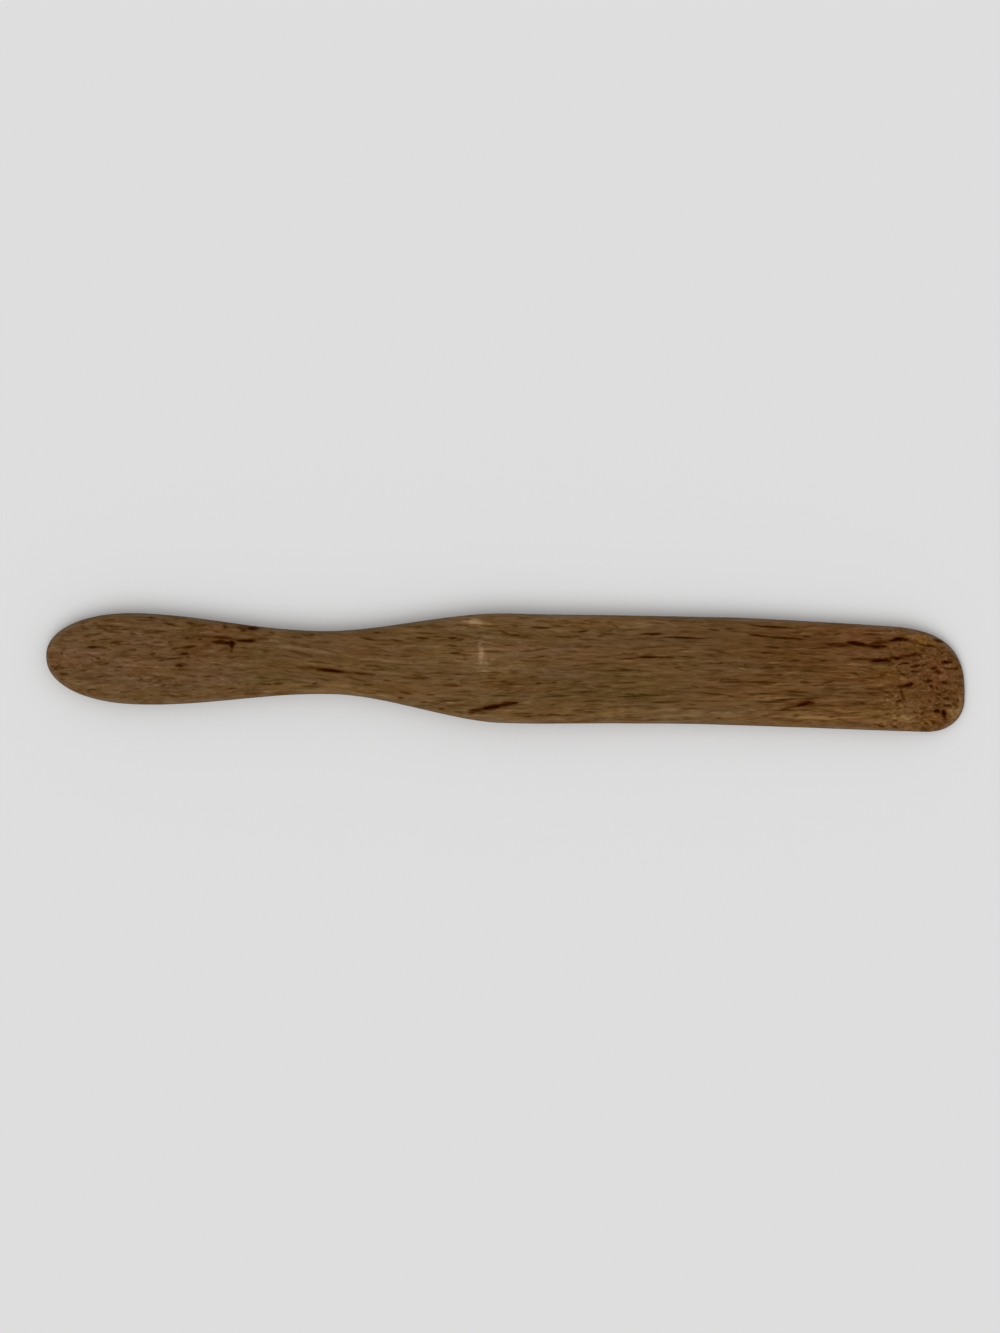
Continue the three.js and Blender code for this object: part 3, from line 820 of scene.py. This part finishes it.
# The wood's noises: the size of their lumps along, across and through the grain in millimetres,
# their detail and their seed
SLIPS = ((30.0, 1.1, 1.1), 1.0, 15)
FRAYING = ((3.0, 0.5, 0.5), 2.0, 9)
CLOUDS = ((50.0, 9.0, 9.0), 1.0, 0)
BANDS = ((50.0, 3.0, 3.0), 1.0, 1)
STREAKS = ((11.0, 1.2, 1.2), 1.0, 2)
FIBRES = ((4.5, 0.8, 0.8), 2.0, 3)
HAIRS = ((1.4, 0.4, 0.4), 2.0, 11)
END_CELLS = ((5.0, 1.5, 1.5), 2.0, 13)
END_GRIT = ((2.8, 0.9, 0.9), 1.0, 17)
MARK_PATCHES = ((5.0, 1.2, 1.2), 1.0, 14)
WEAR_AND_SHEEN_PATCHES = ((14.0, 4.0, 4.0), 3.0, 16)

# Its dashes, with their size and seed, and its flecks, with the size of their cells, the share of
# the cells that have one, the widest radius in cells, and the seed
LONG_DASHES = ((17.0, 1.0, 1.0), 4)
SHORT_DASHES = ((7.5, 0.95, 0.95), 5)
PALE_DASHES = ((9.0, 0.85, 0.85), 6)
LARGE_FLECKS = ((9.0, 1.2, 1.2), 0.5, 0.4, 7)
SMALL_FLECKS = ((5.0, 0.8, 0.8), 0.7, 0.42, 8)
END_DOTS = ((13.0, 2.3, 2.3), 0.75, 0.48, 12, "2D")
SPECKS = ((4.0, 0.9, 0.9), 0.5, 0.42, 18)

# How the grain's lines sway, slip along one another and fray, in millimetres
SWAY_SIZE = (18.0, 3.0, 3.0)
SWAY = (0.0, 0.45, 0.45)
SLIP = 2.0
FRAY = (0.9, 0.14, 0.14)

# Where a drawn mark comes in and is full, in millimetres inside its stroke, and how much that
# border is frayed
FLECK_EDGE = (-0.04, 0.38)
SPLIT_EDGE = (-0.45, 0.6)
SPLIT_STAIN_EDGE = (-1.4, 0.1)
SCRAPE_EDGE = (-0.45, 0.9)
FLECK_FRAY = 0.12
FLECK_HAIRS = 0.11
SPLIT_FRAY = 0.16
SCRAPE_FRAY = 0.35

# How strong small flecks are beside large ones, pores beside drawn flecks, and the grooves of
# short dashes beside marks
SMALL_FLECK_SHARE = 0.75
PORE_SHARE = 0.42
DASH_GROOVE_SHARE = 0.5

# How many shades a mark and a split take away and a scrape adds, and how strongly the wood round
# a split is stained
MARK_SHADES = 45.0
SPLIT_SHADES = 72.0
SCRAPE_SHADES = 36.0
SPLIT_STAIN = 0.35
WOOD_SPECULAR = 0.01

# How far the marks' darkness and the rims' wear and painted sheen vary, and round which level
MARK_CHANGE = (0.3, 0.95)
WEAR_AND_SHEEN_CHANGE = (0.5, 0.42)


def linear_shade(red, green, blue):
    """A wood colour as it has to be before the lamp's sheen is added, with full cover."""
    light = srgb(red, green, max(blue, LOWEST_BLUE)) - SHEEN
    return (*np.maximum(light, LEAST_LIGHT).tolist(), 1.0)


def shade_ramp(graph, shade):
    """The wood's colour at a shade, counted from 0 to 1 for the top shade."""
    ramp = graph.node("ValToRGB", {"Fac": shade})
    stops = ramp.color_ramp.elements
    stops[1].position = 1.0
    for step in range(SHADE_STEP, SHADE_TOP, SHADE_STEP):
        stops.new(step / SHADE_TOP)
    for stop in stops:
        step = max(stop.position * SHADE_TOP, LOWEST_SHADE)
        stop.color = linear_shade(step + SHADE_RED, step, step + SHADE_BLUE)
    return ramp.outputs["Color"]


def carved_hardwood():
    """The wood: grain lines, dashes and pores, the tip's end grain, marks, wear and painted rim
    sheen.
    """
    graph = Graph("carved_hardwood")
    product = graph.product
    straight = graph.attribute("grain", "Vector")
    end = graph.attribute("end")
    swaying = {"Vector": graph.vector("DIVIDE", straight, SWAY_SIZE), "Scale": 1.0}
    sway = graph.node("TexNoise", swaying).outputs["Color"]
    centred = graph.vector("SUBTRACT", sway, (0.5, 0.5, 0.5))
    swayed = graph.vector("ADD", straight, graph.vector("MULTIPLY", centred, SWAY))
    slip = {"X": product(graph.noise(straight, *SLIPS), SLIP)}
    grain = graph.vector("ADD", swayed, graph.node("CombineXYZ", slip).outputs[0])
    fraying = graph.noise(grain, *FRAYING)
    frayed = graph.vector("ADD", grain, graph.vector("MULTIPLY", fraying, FRAY))

    cloud = graph.noise(grain, *CLOUDS)
    band = graph.noise(grain, *BANDS)
    streak = graph.noise(grain, *STREAKS)
    fibre = graph.noise(grain, *FIBRES)
    hair = graph.noise(grain, *HAIRS)
    long_dashes = graph.dashes(frayed, *LONG_DASHES)
    short_dashes = graph.dashes(frayed, *SHORT_DASHES)
    pale_dashes = graph.dashes(frayed, *PALE_DASHES)
    large = graph.flecks(frayed, *LARGE_FLECKS)
    small = graph.flecks(frayed, *SMALL_FLECKS)
    specks = graph.flecks(frayed, *SPECKS)
    dots = product(graph.flecks(frayed, *END_DOTS), end)
    cells = product(graph.noise(grain, *END_CELLS), end)
    grit = product(graph.noise(frayed, *END_GRIT), end)

    # The drawn marks, each 0 outside and up to 1 inside
    fleck = graph.total((fraying, FLECK_FRAY), (hair, FLECK_HAIRS), (graph.attribute("fleck"), 1.0))
    drawn = product(graph.step(fleck, *FLECK_EDGE), graph.attribute("fleck_dark"))
    uneven = graph.math("MULTIPLY_ADD", graph.noise(grain, *MARK_PATCHES), *MARK_CHANGE)
    split = graph.math("MULTIPLY_ADD", fraying, SPLIT_FRAY, graph.attribute("split"))
    split_dark = product(graph.attribute("split_dark"), uneven)
    split_share = product(graph.step(split, *SPLIT_EDGE), split_dark)
    scrape = graph.math("MULTIPLY_ADD", fraying, SCRAPE_FRAY, graph.attribute("scrape"))
    scrape_pale = product(graph.attribute("scrape_pale"), uneven)
    scrape_share = product(graph.step(scrape, *SCRAPE_EDGE), scrape_pale)
    pores = graph.math("MAXIMUM", large, product(small, SMALL_FLECK_SHARE))
    pores = graph.math("MAXIMUM", pores, dots)
    marks = graph.math("MAXIMUM", product(pores, PORE_SHARE), drawn)

    # How many shades each part adds. The lines along the grain are half as strong on end grain.
    lines = graph.total(
        (streak, 8.2), (fibre, 9.2), (hair, 5.2),
        (long_dashes, -16.0), (short_dashes, -15.0), (pale_dashes, 12.0),
    )
    along_grain = graph.math("MULTIPLY_ADD", end, -0.5, 1.0)
    figure = graph.total(
        (cloud, 2.5), (band, 5.5), (product(lines, along_grain), 1.0), (cells, 7.0),
        (grit, 8.0), (specks, 13.0), (product(specks, end), 10.0),
    )
    mark_shades = product(marks, MARK_SHADES)
    darkest = graph.math("MAXIMUM", mark_shades, product(split_share, SPLIT_SHADES))
    level = graph.total(
        (product(figure, graph.attribute("strength")), 1.0),
        (darkest, -1.0), (scrape_share, SCRAPE_SHADES), (1.0, BODY_SHADE),
    )
    plain = shade_ramp(graph, product(level, 1 / SHADE_TOP))
    wood = graph.mix(1.0, plain, graph.attribute("tint", "Color"), "MULTIPLY")

    # Rim wear with painted sheen and the stained wood round a split, both left out where a mark is
    whole = graph.math("SUBTRACT", 1.0, graph.math("MAXIMUM", split_share, drawn))
    patchy = graph.math("MULTIPLY_ADD", graph.noise(grain, *WEAR_AND_SHEEN_PATCHES), *WEAR_AND_SHEEN_CHANGE)
    wear_and_sheen_share = product(product(graph.attribute("rim"), patchy), whole)
    wear_and_sheen = graph.mix(wear_and_sheen_share, wood, linear_shade(*WORN_AND_SHEEN_BROWN))
    stained = product(graph.step(split, *SPLIT_STAIN_EDGE), split_dark)
    stain_share = product(product(stained, whole), SPLIT_STAIN)
    colour = graph.mix(stain_share, wear_and_sheen, linear_shade(*STAIN_BROWN))
    roughness = graph.total((marks, 0.2), (streak, 0.05), (cloud, 0.03), (1.0, 0.6))

    # The relief, in millimetres
    grooves = graph.math("MAXIMUM", marks, product(short_dashes, DASH_GROOVE_SHARE))
    relief = graph.total((grooves, -0.1), (fibre, 0.018), (streak, 0.012), (split_share, -0.12))
    bump = graph.node("Bump", {"Strength": 1.0, "Distance": MM, "Height": relief}).outputs[0]
    surface = {"Base Color": colour, "Roughness": roughness, "Normal": bump}
    graph.feed(graph.shader, {**surface, "Specular IOR Level": WOOD_SPECULAR})
    return graph.material


def placed(name, data):
    """A new object with that data, in the scene."""
    thing = bpy.data.objects.new(name, data)
    bpy.context.scene.collection.objects.link(thing)
    return thing


def mesh_normals(mesh):
    normals = np.empty(len(mesh.vertices) * 3, np.float32)
    mesh.vertex_normals.foreach_get("vector", normals)
    return normals.reshape(-1, 3).astype(float)


# Marks lie where the surface looks up more than this, and what looks down more than this stays
# flat. A hollow comes in from this place, over this length, in millimetres inside its stroke.
MARKED_SLOPE = 0.2
UNDERSIDE_SLOPE = -0.9
SPLIT_HOLLOW_FROM = (-0.15, 0.6)
FLECK_HOLLOW_FROM = (-0.1, 0.4)
LAYER_KINDS = {"grain": ("FLOAT_VECTOR", "vector"), "tint": ("FLOAT_COLOR", "color")}


def carved_body():
    """The dressed piece: the carved form, its wear and painted rim sheen, and what its material
    reads.
    """
    points, faces, corners, loop = carved_form()
    mesh = bpy.data.meshes.new("spurtle")
    mesh.from_pydata(points.tolist(), [], faces)
    normals = mesh_normals(mesh)
    marked = normals[:, 2] > MARKED_SLOPE
    spots = np.where(marked[:, None], points[:, :2], -LENGTH)
    split, (split_dark, split_deep) = strokes(spots, SPLITS)
    fleck, (fleck_dark,) = strokes(spots, fleck_marks(), FLECK_TAPER)
    scrape, (scrape_pale,) = strokes(spots, SCRAPES)

    uneven = rough(points, HAND_SWELL) + rough(points, HAND_CUTS) + rough(points, RAISED_FIBRES)
    hollow = SPLIT_DEPTH * split_deep * coming_in(split, *SPLIT_HOLLOW_FROM)
    hollow += FLECK_DEPTH * coming_in(fleck, *FLECK_HOLLOW_FROM)
    moved = points + normals * (uneven - hollow)[:, None]
    moved[:, 2] = np.where(normals[:, 2] < UNDERSIDE_SLOPE, 0, np.maximum(moved[:, 2], 0))
    moved[:, 0] = np.clip(moved[:, 0], 0, LENGTH)

    mesh.vertices.foreach_set("co", ((moved - MIDDLE) * MM).ravel())
    mesh.shade_smooth()
    mesh.uv_layers.new(name="OFBake").data.foreach_set("uv", np.array(corners, np.float32).ravel())
    layers = {
        "grain": grain_places(points),
        "tint": tint_places(points),
        "rim": rim_mask(points, normals, loop),
        "end": end_share(points),
        "strength": along_stations(points[:, 0], GRAIN_STRENGTH),
        "split": split,
        "split_dark": split_dark,
        "fleck": fleck,
        "fleck_dark": fleck_dark,
        "scrape": scrape,
        "scrape_pale": scrape_pale,
    }
    for name, values in layers.items():
        kind, field = LAYER_KINDS.get(name, ("FLOAT", "value"))
        layer = mesh.attributes.new(name, kind, "POINT")
        layer.data.foreach_set(field, np.ravel(values).astype(np.float32))
    mesh.update()
    mesh.materials.append(carved_hardwood())

    body = placed("spurtle", mesh)
    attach(body, "root")
    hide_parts(NODE)


def studio():
    """A pale floor, as bright as the even sky over it, and one large soft lamp far off."""
    sky_level = 0.73
    lamp_level = 0.30
    lamp_spread = math.radians(50)
    towards_lamp = Vector((-0.35, -0.85, 1.5)).normalized()
    floor_grey = sky_level / (sky_level + lamp_level)
    reach = 40.0
    corners = [(-reach, -reach, 0), (reach, -reach, 0), (reach, reach, 0), (-reach, reach, 0)]
    floor_mesh = bpy.data.meshes.new("floor")
    floor_mesh.from_pydata(corners, [], [(0, 1, 2, 3)])
    floor = placed("floor", floor_mesh)
    paint = Graph("floor_paint")
    grey = (floor_grey, floor_grey, floor_grey, 1.0)
    paint.feed(paint.shader, {"Base Color": grey, "Roughness": 1.0, "Specular IOR Level": 0.0})
    floor_mesh.materials.append(paint.material)

    world = bpy.data.worlds.new("studio")
    world.use_nodes = True
    sky = world.node_tree.nodes["Background"]
    sky.inputs["Color"].default_value = (1.0, 1.0, 1.0, 1.0)
    sky.inputs["Strength"].default_value = sky_level
    bpy.context.scene.world = world

    lamp = bpy.data.lights.new("softbox", "SUN")
    lamp.angle = lamp_spread
    lamp.energy = lamp_level * math.pi / towards_lamp.z
    holder = placed("softbox", lamp)
    holder.rotation_euler = towards_lamp.to_track_quat("Z", "Y").to_euler()


def camera():
    """The photograph's view: straight down, through a long lens."""
    lens_length = 250.0
    sensor_size = 36.0
    data = bpy.data.cameras.new("camera")
    data.lens = lens_length
    data.sensor_width = sensor_size
    frame_height = PHOTO_HEIGHT * MM_PER_PIXEL * MM
    distance = frame_height * lens_length / sensor_size
    holder = placed("camera", data)
    centre = (np.array([*PHOTO_CENTRE, 0]) - MIDDLE) * MM
    holder.location = (centre[0], centre[1], distance + solid_high.z / 2)
    holder.rotation_euler = (0, 0, PHOTO_TURN)
    bpy.context.scene.camera = holder


camera()
studio()
carved_body()
bpy.context.scene.view_settings.view_transform = "Standard"
